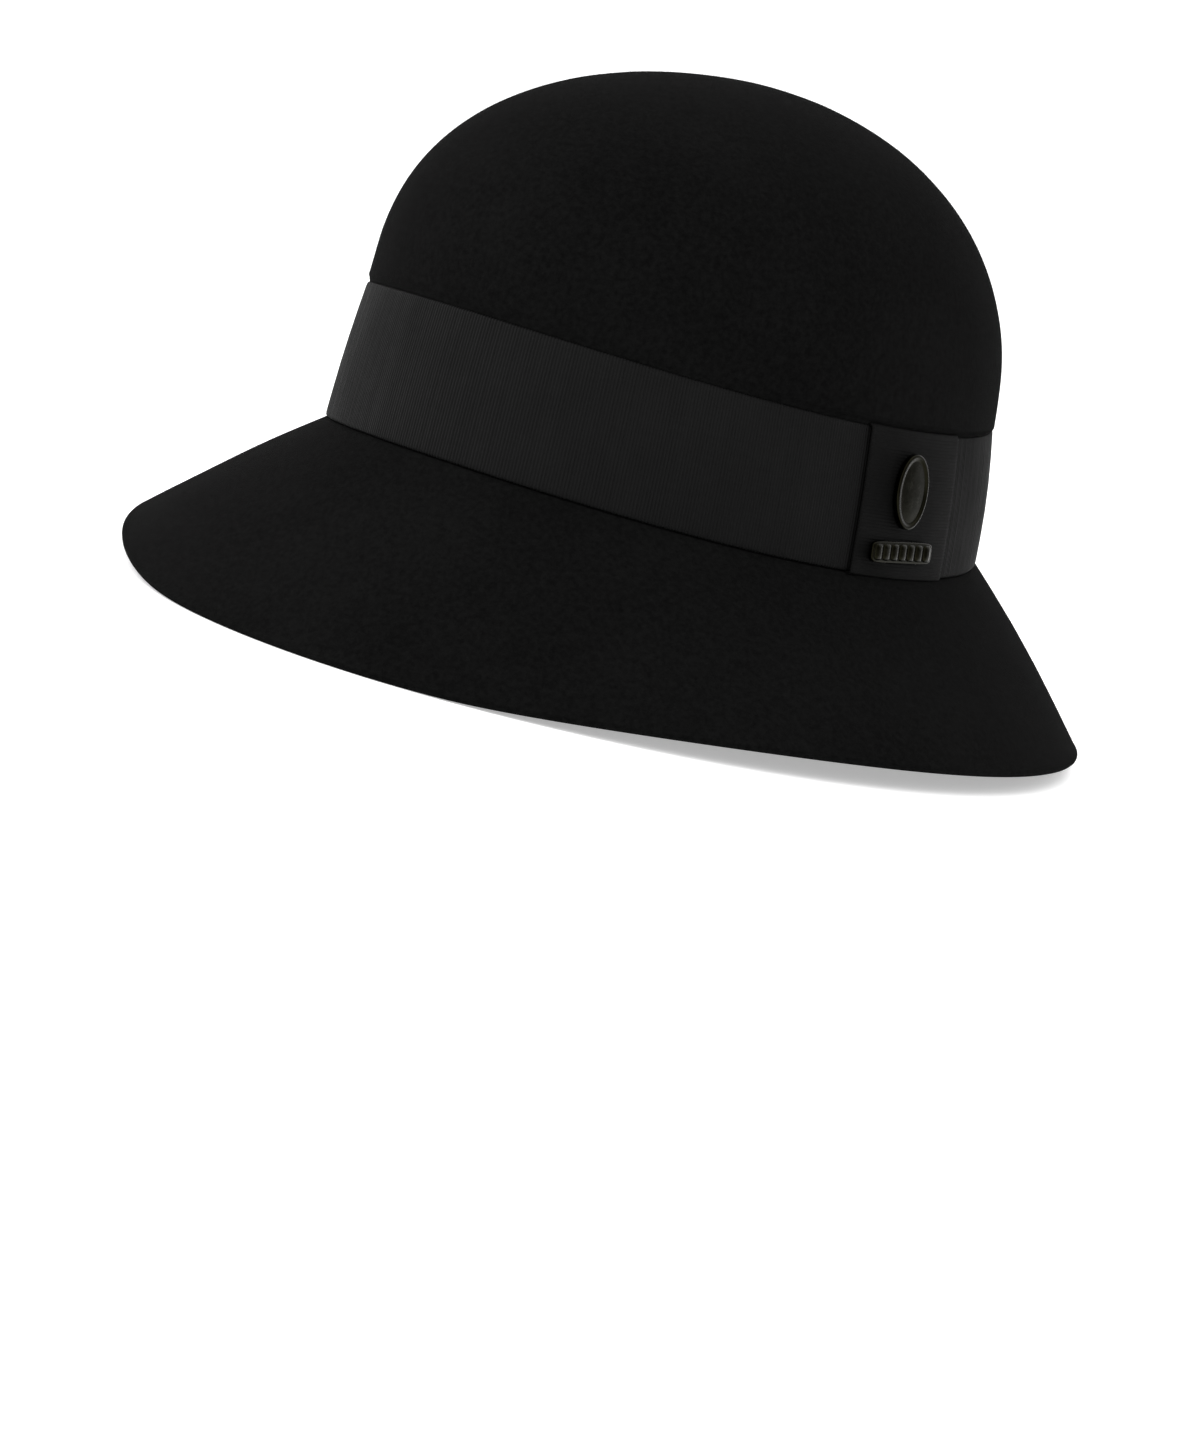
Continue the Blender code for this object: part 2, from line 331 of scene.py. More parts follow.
def make_felt_body():
    angle = np.linspace(0.0, 2.0 * math.pi, FELT_COLUMNS, endpoint=False)
    outer = felt_outer_rings(angle)
    roll, edge = felt_roll_rings(angle, outer[-1])
    outer = np.array(outer + roll)
    normal = rings_normals(outer)
    height = outer[..., 2]
    from_ribbon = np.abs(height - BREAK_HEIGHT - BAND_HEIGHT / 2.0) / BAND_HEIGHT
    free = np.clip(from_ribbon - SWELL_CLEAR_OF_RIBBON, 0.0, SWELL_FADE) / SWELL_FADE
    free *= np.clip(height / SWELL_FADE_AT_RIM, 0.0, 1.0)
    swell = np.array([[unevenness(point) for point in ring] for ring in outer])
    outer += normal * (swell * free)[..., None]
    inner = outer - rings_normals(outer) * FELT_WALL
    lowest = rim_height(angle) + FELT_WALL / 2.0
    inner[..., 2] = np.maximum(inner[..., 2], lowest)
    inner[-1, :, 2] = lowest
    tip = Vector(crown_ring(np.zeros(1), 1.0)[0])
    inside = list(inner[::-1][::INSIDE_ROW_STEP])
    rings = list(outer) + edge + inside
    shell = shell_from_rings(rings, tip, tip - Vector((0.0, 0.0, FELT_WALL)))
    piece = mesh_from_shells("felt", [shell])
    napped = (free > 0.5) & (height > rim_height(angle) + NAP_LENGTH)
    share = np.zeros(len(piece.data.vertices))
    share[:napped.size] = napped.ravel()
    store(piece.data, "nap", "FLOAT", share)
    return piece


def felt_nap_tree():
    """Short stray wool fibres that lie nearly flat on the felt wherever its nap share is 1."""
    tree = bpy.data.node_groups.new("felt_nap", "GeometryNodeTree")
    tree.is_modifier = True
    tree.interface.new_socket(name="Felt", in_out="INPUT", socket_type="NodeSocketGeometry")
    for name in ("Fibres Per Square Metre", "Length", "Thickness"):
        tree.interface.new_socket(name=name, in_out="INPUT", socket_type="NodeSocketFloat")
    tree.interface.new_socket(name="Wool", in_out="INPUT", socket_type="NodeSocketMaterial")
    tree.interface.new_socket(name="Nap", in_out="OUTPUT", socket_type="NodeSocketGeometry")
    source = tree.nodes.new("NodeGroupInput")
    sink = tree.nodes.new("NodeGroupOutput")
    share = tree.nodes.new("GeometryNodeInputNamedAttribute")
    share.data_type = "FLOAT"
    share.inputs["Name"].default_value = "nap"
    density = tree.nodes.new("ShaderNodeMath")
    density.operation = "MULTIPLY"
    tree.links.new(share.outputs["Attribute"], density.inputs[0])
    tree.links.new(source.outputs["Fibres Per Square Metre"], density.inputs[1])
    scatter = tree.nodes.new("GeometryNodeDistributePointsOnFaces")
    scatter.inputs["Seed"].default_value = NAP_SEED
    tree.links.new(source.outputs["Felt"], scatter.inputs["Mesh"])
    tree.links.new(density.outputs[0], scatter.inputs["Density"])
    fibre = tree.nodes.new("GeometryNodeMeshCone")
    fibre.inputs["Vertices"].default_value = 3
    fibre.inputs["Radius Top"].default_value = 0.0
    tree.links.new(source.outputs["Thickness"], fibre.inputs["Radius Bottom"])
    tree.links.new(source.outputs["Length"], fibre.inputs["Depth"])
    lean = tree.nodes.new("FunctionNodeRandomValue")
    lean.data_type = "FLOAT_VECTOR"
    lean.inputs["Min"].default_value = (NAP_LEAN[0], 0.0, 0.0)
    lean.inputs["Max"].default_value = (NAP_LEAN[1], 0.0, 2.0 * math.pi)
    lean.inputs["Seed"].default_value = NAP_LEAN_SEED
    turn = tree.nodes.new("FunctionNodeEulerToRotation")
    tree.links.new(lean.outputs["Value"], turn.inputs[0])
    lay = tree.nodes.new("FunctionNodeRotateRotation")
    lay.rotation_space = "LOCAL"
    tree.links.new(scatter.outputs["Rotation"], lay.inputs[0])
    tree.links.new(turn.outputs[0], lay.inputs[1])
    size = tree.nodes.new("FunctionNodeRandomValue")
    size.data_type = "FLOAT"
    size.inputs["Min"].default_value = NAP_SIZES[0]
    size.inputs["Max"].default_value = NAP_SIZES[1]
    place = tree.nodes.new("GeometryNodeInstanceOnPoints")
    tree.links.new(scatter.outputs["Points"], place.inputs["Points"])
    tree.links.new(fibre.outputs["Mesh"], place.inputs["Instance"])
    tree.links.new(lay.outputs[0], place.inputs["Rotation"])
    # the node has a Value output for each kind of number, and only the chosen kind is enabled
    tree.links.new([out for out in size.outputs if out.enabled][0], place.inputs["Scale"])
    realize = tree.nodes.new("GeometryNodeRealizeInstances")
    tree.links.new(place.outputs["Instances"], realize.inputs["Geometry"])
    dress = tree.nodes.new("GeometryNodeSetMaterial")
    tree.links.new(realize.outputs["Geometry"], dress.inputs["Geometry"])
    tree.links.new(source.outputs["Wool"], dress.inputs["Material"])
    tree.links.new(dress.outputs["Geometry"], sink.inputs["Nap"])
    return tree


def new_group(name, inputs, outputs):
    """An empty shader node group with named sockets, for an effect that materials share."""
    group = bpy.data.node_groups.new(name, "ShaderNodeTree")
    for socket, kind, value in inputs:
        made = group.interface.new_socket(name=socket, in_out="INPUT", socket_type=kind)
        made.default_value = value
    for socket, kind in outputs:
        group.interface.new_socket(name=socket, in_out="OUTPUT", socket_type=kind)
    return group, group.nodes.new("NodeGroupInput"), group.nodes.new("NodeGroupOutput")


def noise_field(tree, where, scale, detail, roughness=0.6):
    node = tree.nodes.new("ShaderNodeTexNoise")
    node.inputs["Scale"].default_value = scale
    node.inputs["Detail"].default_value = detail
    node.inputs["Roughness"].default_value = roughness
    tree.links.new(where, node.inputs["Vector"])
    return node.outputs["Fac"]


def scalar_math(tree, operation, *values):
    """One step of arithmetic on numbers or sockets, in a shader or a Geometry Nodes tree."""
    node = tree.nodes.new("ShaderNodeMath")
    node.operation = operation
    for socket, value in zip(node.inputs, values):
        if isinstance(value, float):
            socket.default_value = value
        else:
            tree.links.new(value, socket)
    return node.outputs[0]


def spread(tree, value, low, high, new_low, new_high, blend="LINEAR"):
    """A value between two limits, carried over to two new ones."""
    node = tree.nodes.new("ShaderNodeMapRange")
    node.interpolation_type = blend
    tree.links.new(value, node.inputs["Value"])
    node.inputs["From Min"].default_value = low
    node.inputs["From Max"].default_value = high
    node.inputs["To Min"].default_value = new_low
    node.inputs["To Max"].default_value = new_high
    return node.outputs["Result"]


def felt_grain_group():
    """Matted wool: fine grain, short crossed fibres and broad cloudiness, as heights and a shade."""
    group, source, sink = new_group(
        "felt_grain",
        [("Vector", "NodeSocketVector", (0.0, 0.0, 0.0)), ("Grain Scale", "NodeSocketFloat", GRAIN_SCALE)],
        [("Height", "NodeSocketFloat"), ("Shade", "NodeSocketFloat")],
    )
    where = source.outputs["Vector"]
    grain = group.nodes.new("ShaderNodeTexNoise")
    grain.inputs["Detail"].default_value = 4.0
    grain.inputs["Roughness"].default_value = 0.65
    group.links.new(where, grain.inputs["Vector"])
    group.links.new(source.outputs["Grain Scale"], grain.inputs["Scale"])
    wander = group.nodes.new("ShaderNodeTexNoise")
    wander.inputs["Scale"].default_value = WANDER_SCALE
    wander.inputs["Distortion"].default_value = 1.2
    group.links.new(where, wander.inputs["Vector"])
    stretch = group.nodes.new("ShaderNodeMapping")
    stretch.inputs["Scale"].default_value = (1.0, 1.0, FIBRE_STRETCH)
    group.links.new(wander.outputs["Color"], stretch.inputs["Location"])
    group.links.new(where, stretch.inputs["Vector"])
    fibres = noise_field(group, stretch.outputs["Vector"], FIBRE_SCALE, detail=3.0, roughness=0.7)
    clouds = noise_field(group, where, CLOUD_SCALE, detail=3.0, roughness=0.5)
    tufts = noise_field(group, where, TUFT_SCALE, detail=3.0, roughness=0.65)
    raised_fibres = scalar_math(group, "MULTIPLY", fibres, FIBRE_RELIEF)
    height = scalar_math(group, "ADD", grain.outputs["Fac"], raised_fibres)
    shade = scalar_math(group, "MULTIPLY", clouds, CLOUD_SHADE)
    for field, weight in ((fibres, FIBRE_SHADE), (tufts, TUFT_SHADE)):
        shade = scalar_math(group, "ADD", shade, scalar_math(group, "MULTIPLY", field, weight))
    group.links.new(height, sink.inputs["Height"])
    group.links.new(shade, sink.inputs["Shade"])
    return group


def start_material(name):
    material = bpy.data.materials.new(name)
    material.use_nodes = True
    tree = material.node_tree
    shader = tree.nodes["Principled BSDF"]
    place = tree.nodes.new("ShaderNodeTexCoord").outputs["Object"]
    return material, tree, shader, place


def tinted(tree, share, dark, light):
    """Colour between a dark and a light one by a share that varies over the surface."""
    node = tree.nodes.new("ShaderNodeMix")
    node.data_type = "RGBA"
    node.inputs["A"].default_value = (*dark, 1.0)
    node.inputs["B"].default_value = (*light, 1.0)
    tree.links.new(share, node.inputs["Factor"])
    return node.outputs["Result"]


def add_bump(tree, shader, height, distance, strength):
    bump = tree.nodes.new("ShaderNodeBump")
    bump.inputs["Distance"].default_value = distance
    bump.inputs["Strength"].default_value = strength
    tree.links.new(height, bump.inputs["Height"])
    tree.links.new(bump.outputs["Normal"], shader.inputs["Normal"])


def black_felt_material():
    material, tree, shader, place = start_material("black_wool_felt")
    grain = tree.nodes.new("ShaderNodeGroup")
    grain.node_tree = felt_grain_group()
    tree.links.new(place, grain.inputs["Vector"])
    share = spread(tree, grain.outputs["Shade"], *GRAIN_SPAN, 0.0, 1.0)
    roughness = spread(tree, grain.outputs["Shade"], *NOISE_SPAN, *WOOL_ROUGHNESS)
    tree.links.new(tinted(tree, share, WOOL_DARK, WOOL_LIGHT), shader.inputs["Base Color"])
    tree.links.new(roughness, shader.inputs["Roughness"])
    shader.inputs["IOR"].default_value = WOOL_SHINE
    shader.inputs["Sheen Weight"].default_value = WOOL_SHEEN
    shader.inputs["Sheen Roughness"].default_value = 0.45
    shader.inputs["Sheen Tint"].default_value = WOOL_SHEEN_TINT
    add_bump(tree, shader, grain.outputs["Height"], WOOL_RELIEF, strength=0.8)
    return material


wool = black_felt_material()
felt = make_felt_body()
nap = bpy.data.objects.new("felt_nap", felt.data.copy())
bpy.context.scene.collection.objects.link(nap)
run_tree(
    nap, felt_nap_tree(), Fibres_Per_Square_Metre=NAP_FIBRES, Length=NAP_LENGTH,
    Thickness=NAP_THICKNESS, Wool=wool,
)
felt.data.materials.append(wool)
for piece in (felt, nap):
    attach(piece, "root")
    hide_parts("felt_body")


# ---------------------------------------------------------------------------------------
# Ribbon band. Black grosgrain, 38 mm wide: fine warp packed over thick cross cords, which
# stand up as close ribs and end in tiny scallops at both edges. It is drawn tight round the
# foot of the crown and its ends are joined under the keeper.
# ---------------------------------------------------------------------------------------
RIBBON_THICKNESS = 0.00055
RIB_PITCH = 0.00090
RIB_DEPTH = 0.00028
SCALLOP = 0.00018
RIB_ROUNDNESS = 0.7
RIB_UNEVENNESS = 0.35
SHALLOWEST_RIB = 0.82
SAMPLES_PER_RIB = 5
EDGE_SQUARENESS = 60.0
EDGE_SHARE = 0.03
OVAL_SAMPLES = 2881
OFF_STEP = 0.001
ACROSS_STEP = 0.01
MM_PER_METRE = 1000.0
BAND_ROWS = (0.0, 0.008, 0.025, 0.06, 0.2, 0.4, 0.6, 0.8, 0.94, 0.975, 0.992, 1.0)
BAND_BACK_ROWS = (0.992, 0.94, 0.6, 0.3, 0.06, 0.008)
FOOT_LIFT = -0.0003
RIBBON_DARK = (0.0016, 0.0016, 0.0016)
RIBBON_LIGHT = (0.0032, 0.0032, 0.0032)
RIBBON_SHINE = 1.19
RIBBON_ROUGHNESS = (0.52, 0.62)
THREADS_PER_MM = 5.0
THREAD_RELIEF = 0.00003
STREAK_STRETCH = (0.12, 3.0, 1.0)
RIBBON_CLOUD_SCALE = 45.0


def ribbed_ribbon_tree():
    """Raises cross cords on a smooth ribbon and scallops its edges.

    Reads from the mesh: cord, the count of cords from the start; square, the way off the face;
    sideways, the way out of the nearer edge, which is zero away from it."""
    tree = bpy.data.node_groups.new("ribbed_ribbon", "GeometryNodeTree")
    tree.is_modifier = True
    tree.interface.new_socket(name="Ribbon", in_out="INPUT", socket_type="NodeSocketGeometry")
    for name in ("Rib Depth", "Scallop"):
        tree.interface.new_socket(name=name, in_out="INPUT", socket_type="NodeSocketFloat")
    tree.interface.new_socket(name="Cloth", in_out="INPUT", socket_type="NodeSocketMaterial")
    tree.interface.new_socket(name="Ribbon", in_out="OUTPUT", socket_type="NodeSocketGeometry")
    source = tree.nodes.new("NodeGroupInput")
    sink = tree.nodes.new("NodeGroupOutput")

    def named(name, kind):
        node = tree.nodes.new("GeometryNodeInputNamedAttribute")
        node.data_type = kind
        node.inputs["Name"].default_value = name
        return node.outputs["Attribute"]

    def scaled(vector, factor):
        node = tree.nodes.new("ShaderNodeVectorMath")
        node.operation = "SCALE"
        tree.links.new(vector, node.inputs[0])
        tree.links.new(factor, node.inputs["Scale"])
        return node.outputs[0]

    cord = named("cord", "FLOAT")
    wave = scalar_math(tree, "SINE", scalar_math(tree, "MULTIPLY", cord, math.pi))
    wave = scalar_math(tree, "POWER", scalar_math(tree, "ABSOLUTE", wave), RIB_ROUNDNESS)
    cell = tree.nodes.new("ShaderNodeTexWhiteNoise")
    cell.noise_dimensions = "1D"
    tree.links.new(scalar_math(tree, "FLOOR", cord), cell.inputs["W"])
    uneven = scalar_math(tree, "MULTIPLY_ADD", cell.outputs["Value"], RIB_UNEVENNESS, SHALLOWEST_RIB)
    raised = scalar_math(tree, "MULTIPLY", wave, uneven)
    depth = scalar_math(tree, "MULTIPLY", raised, source.outputs["Rib Depth"])
    reach = scalar_math(tree, "MULTIPLY", raised, source.outputs["Scallop"])
    total = tree.nodes.new("ShaderNodeVectorMath")
    total.operation = "ADD"
    tree.links.new(scaled(named("square", "FLOAT_VECTOR"), depth), total.inputs[0])
    tree.links.new(scaled(named("sideways", "FLOAT_VECTOR"), reach), total.inputs[1])
    move = tree.nodes.new("GeometryNodeSetPosition")
    tree.links.new(source.outputs["Ribbon"], move.inputs["Geometry"])
    tree.links.new(total.outputs[0], move.inputs["Offset"])
    smooth = tree.nodes.new("GeometryNodeSetShadeSmooth")
    tree.links.new(move.outputs["Geometry"], smooth.inputs["Geometry"])
    realize = tree.nodes.new("GeometryNodeRealizeInstances")
    tree.links.new(smooth.outputs["Geometry"], realize.inputs["Geometry"])
    dress = tree.nodes.new("GeometryNodeSetMaterial")
    tree.links.new(realize.outputs["Geometry"], dress.inputs["Geometry"])
    tree.links.new(source.outputs["Cloth"], dress.inputs["Material"])
    tree.links.new(dress.outputs["Geometry"], sink.inputs["Ribbon"])
    return tree


def store_uv(mesh, along, across):
    """UV in millimetres: along the ribbon and across it."""
    loops = np.zeros(len(mesh.loops), np.int32)
    mesh.loops.foreach_get("vertex_index", loops)
    layer = mesh.uv_layers.new(name="ribbon_mm")
    pairs = np.stack([along[loops], across[loops]], axis=-1)
    layer.data.foreach_set("uv", pairs.astype(np.float32).ravel())


def ribbon_loop(name, place, length, width_steps, back_steps, cords):
    """A closed loop of smooth ribbon with the attributes that its cords need.

    place(along, across, off) gives a point for arrays of the share along the loop, the share
    across the width and the distance off the middle of the cloth."""
    along = np.arange(cords * SAMPLES_PER_RIB) / (cords * SAMPLES_PER_RIB)
    half = RIBBON_THICKNESS / 2.0
    rows = [(share, 1.0) for share in width_steps] + [(share, -1.0) for share in back_steps]
    rings, square, sideways, across_share = [], [], [], []
    for share, side in rows:
        rounding = math.sqrt(max(0.0, 1.0 - abs(2.0 * share - 1.0) ** EDGE_SQUARENESS))
        across = np.full_like(along, share)
        off = side * half * rounding
        here = place(along, across, off)
        way = place(along, across, off + OFF_STEP) - here
        way /= np.linalg.norm(way, axis=-1, keepdims=True)
        edge_way = place(along, across + ACROSS_STEP, off) - here
        edge_way /= np.linalg.norm(edge_way, axis=-1, keepdims=True)
        near_edge = max(0.0, 1.0 - min(share, 1.0 - share) / EDGE_SHARE)
        rings.append(here)
        square.append(way * side * rounding)
        sideways.append(edge_way * near_edge * (1.0 if share > 0.5 else -1.0))
        across_share.append(across)
    count = len(along)
    points = np.concatenate(rings)
    index = np.arange(len(rows) * count).reshape(len(rows), count)
    lower = np.roll(index, -1, axis=0)
    quads = np.stack([index, np.roll(index, -1, axis=1), np.roll(lower, -1, axis=1), lower], axis=-1)
    mesh = bpy.data.meshes.new(name)
    mesh.from_pydata(points.tolist(), [], quads.reshape(-1, 4).tolist())
    store(mesh, "cord", "FLOAT", np.tile(along * cords, len(rows)))
    store(mesh, "square", "FLOAT_VECTOR", np.concatenate(square))
    store(mesh, "sideways", "FLOAT_VECTOR", np.concatenate(sideways))
    along_mm = np.tile(along * length * MM_PER_METRE, len(rows))
    across_mm = np.concatenate(across_share) * BAND_HEIGHT * MM_PER_METRE
    store_uv(mesh, along_mm, across_mm)
    piece = bpy.data.objects.new(name, mesh)
    bpy.context.scene.collection.objects.link(piece)
    return piece


def even_turns(level):
    """Angles round the oval, the share of its length run by each, and the whole length."""
    fine = np.linspace(0.0, 2.0 * math.pi, OVAL_SAMPLES)
    line = oval(fine, level)
    run = np.concatenate([[0.0], np.cumsum(np.linalg.norm(np.diff(line, axis=0), axis=1))])
    return fine, run / run[-1], run[-1]


def warp_threads_group():
    """Fine warp threads that cross the cords, as a height, and their slight change of shade."""
    group, source, sink = new_group(
        "warp_threads",
        [
            ("UV", "NodeSocketVector", (0.0, 0.0, 0.0)),
            ("Threads Per Millimetre", "NodeSocketFloat", THREADS_PER_MM),
        ],
        [("Height", "NodeSocketFloat"), ("Shade", "NodeSocketFloat")],
    )
    parts = group.nodes.new("ShaderNodeSeparateXYZ")
    group.links.new(source.outputs["UV"], parts.inputs[0])
    turns = scalar_math(group, "MULTIPLY", parts.outputs["Y"], source.outputs["Threads Per Millimetre"])
    wave = scalar_math(group, "SINE", scalar_math(group, "MULTIPLY", turns, 2.0 * math.pi))
    lengths = group.nodes.new("ShaderNodeMapping")
    lengths.inputs["Scale"].default_value = STREAK_STRETCH
    group.links.new(source.outputs["UV"], lengths.inputs["Vector"])
    streaks = noise_field(group, lengths.outputs["Vector"], 1.0, detail=4.0)
    group.links.new(wave, sink.inputs["Height"])
    group.links.new(streaks, sink.inputs["Shade"])
    return group


def grosgrain_material(name, dark, light, shine):
    material, tree, shader, place = start_material(name)
    uv = tree.nodes.new("ShaderNodeUVMap")
    uv.uv_map = "ribbon_mm"
    threads = tree.nodes.new("ShaderNodeGroup")
    threads.node_tree = warp_threads_group()
    tree.links.new(uv.outputs["UV"], threads.inputs["UV"])
    share = spread(tree, threads.outputs["Shade"], *NOISE_SPAN, 0.0, 1.0)
    clouds = noise_field(tree, place, RIBBON_CLOUD_SCALE, detail=2.0)
    tree.links.new(tinted(tree, share, dark, light), shader.inputs["Base Color"])
    tree.links.new(spread(tree, clouds, *NOISE_SPAN, *RIBBON_ROUGHNESS), shader.inputs["Roughness"])
    shader.inputs["IOR"].default_value = shine
    add_bump(tree, shader, threads.outputs["Height"], THREAD_RELIEF, strength=0.5)
    return material


grosgrain = grosgrain_material("black_grosgrain", RIBBON_DARK, RIBBON_LIGHT, RIBBON_SHINE)
ribbon_tree = ribbed_ribbon_tree()


def make_ribbon_band():
    fine, run, length = even_turns(level=0.5)

    def place(along, across, off):
        angle = np.interp(along, run, fine)
        rise = FOOT_LIFT + across * (BAND_HEIGHT - FOOT_LIFT)
        return on_band(angle, rise, off - RIBBON_THICKNESS / 2.0)

    cords = round(length / RIB_PITCH)
    piece = ribbon_loop("ribbon", place, length, BAND_ROWS, BAND_BACK_ROWS, cords)
    return run_tree(piece, ribbon_tree, Rib_Depth=RIB_DEPTH, Scallop=SCALLOP, Cloth=grosgrain)


ribbon = make_ribbon_band()
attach(ribbon, "root")
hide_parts("ribbon_band")


# ---------------------------------------------------------------------------------------
# Keeper. A short length of the same grosgrain turned upright, wrapped round the band on the
# wearer's left to cover its joined ends, so its ribs lie level.
# ---------------------------------------------------------------------------------------
KEEPER_ANGLE = math.radians(90.5)
KEEPER_HALF_ANGLE = math.radians(11.9)
KEEPER_CLEARANCE = 0.00022
KEEPER_BACK_CLEARANCE = 0.00005
KEEPER_EDGE_LIFT = 0.0008
KEEPER_LIFTED_SHARE = 0.2
KEEPER_RIB_DEPTH = RIB_DEPTH * 0.45
KEEPER_DARK = (0.0020, 0.0020, 0.0020)
KEEPER_LIGHT = (0.0036, 0.0036, 0.0035)
KEEPER_SHINE = 1.1
KEEPER_ROWS = (
    0.0, 0.008, 0.025, 0.06, 0.15, 0.25, 0.35, 0.45,
    0.55, 0.65, 0.75, 0.85, 0.94, 0.975, 0.992, 1.0,
)
KEEPER_BACK_ROWS = (0.992, 0.94, 0.8, 0.6, 0.4, 0.2, 0.06, 0.008)


def keeper_section(share):
    """Closed path round the band's section: up the front, over the top, down the back."""
    gap = KEEPER_CLEARANCE + RIBBON_THICKNESS / 2.0
    back = -(RIBBON_THICKNESS + KEEPER_BACK_CLEARANCE + RIBBON_THICKNESS / 2.0)
    low, high = FOOT_LIFT - gap, BAND_HEIGHT + gap
    middle = (gap + back) / 2.0
    radius = (gap - back) / 2.0
    tall = high - low - 2.0 * radius
    bend = math.pi * radius
    total = 2.0 * (tall + bend)
    run = np.asarray(share) * total
    turn_top = np.clip((run - tall) / radius, 0.0, math.pi)
    turn_low = np.clip((run - 2.0 * tall - bend) / radius, 0.0, math.pi)
    up = np.minimum(run, tall) - np.clip(run - tall - bend, 0.0, tall)
    out = np.cos(turn_top + turn_low)
    lift = np.sin(turn_top + turn_low)
    proud = middle + radius * out
    rise = low + radius + up + radius * lift
    return proud, rise, out, lift, total


upright_grosgrain = grosgrain_material(
    "black_grosgrain_upright", KEEPER_DARK, KEEPER_LIGHT, KEEPER_SHINE,
)


def make_ribbon_keeper():
    *_, total = keeper_section(0.0)

    def place(along, across, off):
        proud, rise, out, lift, _ = keeper_section(along)
        angle = KEEPER_ANGLE + KEEPER_HALF_ANGLE * (1.0 - 2.0 * across)
        edge = np.clip((across - (1.0 - KEEPER_LIFTED_SHARE)) / KEEPER_LIFTED_SHARE, 0.0, 1.0)
        standing = KEEPER_EDGE_LIFT * edge ** 2 * np.maximum(out, 0.0)
        return on_band(angle, rise + off * lift, proud + off * out + standing)

    cords = round(total / RIB_PITCH)
    piece = ribbon_loop("ribbon_keeper_loop", place, total, KEEPER_ROWS, KEEPER_BACK_ROWS, cords)
    return run_tree(
        piece, ribbon_tree, Rib_Depth=KEEPER_RIB_DEPTH, Scallop=SCALLOP, Cloth=upright_grosgrain,
    )


keeper = make_ribbon_keeper()
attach(keeper, "root")
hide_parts("ribbon_keeper")


# ---------------------------------------------------------------------------------------
# Badge. Two small castings in dark polished gunmetal, pinned through the keeper: an upright
# oval plate with a raised border, and below it a level bar with upright reeding.
# ---------------------------------------------------------------------------------------
BADGE_ANGLE = math.radians(89.0)
PLATE_SIZE = (0.0135, 0.0205)
PLATE_RISE = 0.60
BAR_SIZE = (0.0265, 0.0060)
BAR_RISE = 0.17
BADGE_GAP = 0.0001
BADGE_SEGMENTS = 96
PLATE_PROFILE = (
    (0.0020, 0.0), (0.0002, 0.0), (0.0, 0.0002), (0.0, 0.0014),
    (0.0001, 0.00168), (0.0004, 0.0018), (0.0009, 0.0018), (0.0012, 0.00166),
    (0.0013, 0.00146), (0.0020, 0.00150), (0.0035, 0.00162), (0.0052, 0.00170),
)
BAR_PROFILE = (
    (0.0015, 0.0), (0.0002, 0.0), (0.0, 0.0002), (0.0, 0.0009),
    (0.0001, 0.00108), (0.0003, 0.0012), (0.0008, 0.0012),
)
REED_PROFILE = (
    (0.0006, 0.0008), (0.0, 0.0008), (0.0, 0.0012), (0.0001, 0.0014),
    (0.0004, 0.0016), (0.0008, 0.00174), (0.0012, 0.0018),
)
OVAL_POWER = 2.0
BAR_POWER = 7.0
REED_POWER = 4.0
REED_COUNT = 7
REED_PITCH = 0.0036
REED_SIZE = (0.0031, 0.0046)
GUNMETAL_DARK = (0.0056, 0.0053, 0.0030)
GUNMETAL_LIGHT = (0.0098, 0.0094, 0.0056)
GUNMETAL_ROUGHNESS = (0.16, 0.3)
GUNMETAL_PITTING = 0.00002
GUNMETAL_PIT_SCALE = 420.0


def badge_seat(level):
    """Frame on the keeper's outer face: X along the band, Y up it, Z outwards."""
    proud = KEEPER_CLEARANCE + RIBBON_THICKNESS + BADGE_GAP
    seat = on_band(BADGE_ANGLE, level * BAND_HEIGHT, proud)
    foot, top = on_band(BADGE_ANGLE, 0.0, 0.0), on_band(BADGE_ANGLE, BAND_HEIGHT, 0.0)
    up = Vector(top - foot).normalized()
    along = up.cross(Vector(outward(np.float64(BADGE_ANGLE)))).normalized()
    turn = Matrix((along, up, along.cross(up))).transposed().to_4x4()
    return Matrix.Translation(Vector(seat)) @ turn


def cast_shell(size, power, profile, middle=0.0):
    """An outline drawn in by each step of a profile of (inset, height).

    The outline is a superellipse: power 2 is an oval and higher powers square its corners."""
    turn = np.linspace(0.0, 2.0 * math.pi, BADGE_SEGMENTS, endpoint=False)
    round_x = np.sign(np.cos(turn)) * np.abs(np.cos(turn)) ** (2.0 / power)
    round_y = np.sign(np.sin(turn)) * np.abs(np.sin(turn)) ** (2.0 / power)
    rings = []
    for inset, height in profile:
        x = middle + (size[0] / 2.0 - inset) * round_x
        y = (size[1] / 2.0 - inset) * round_y
        rings.append(np.stack([x, y, np.full_like(x, height)], axis=1))
    return shell_from_rings(rings[::-1], (middle, 0.0, profile[-1][1]), (middle, 0.0, profile[0][1]))


def seated(name, shells, seat):
    piece = mesh_from_shells(name, shells)
    piece.data.transform(seat)
    return piece


def badge_metal_material():
    material, tree, shader, place = start_material("dark_gunmetal")
    pits = noise_field(tree, place, GUNMETAL_PIT_SCALE, detail=3.0)
    tree.links.new(tinted(tree, pits, GUNMETAL_DARK, GUNMETAL_LIGHT), shader.inputs["Base Color"])
    tree.links.new(spread(tree, pits, *NOISE_SPAN, *GUNMETAL_ROUGHNESS), shader.inputs["Roughness"])
    shader.inputs["Metallic"].default_value = 1.0
    add_bump(tree, shader, pits, GUNMETAL_PITTING, strength=0.3)
    return material


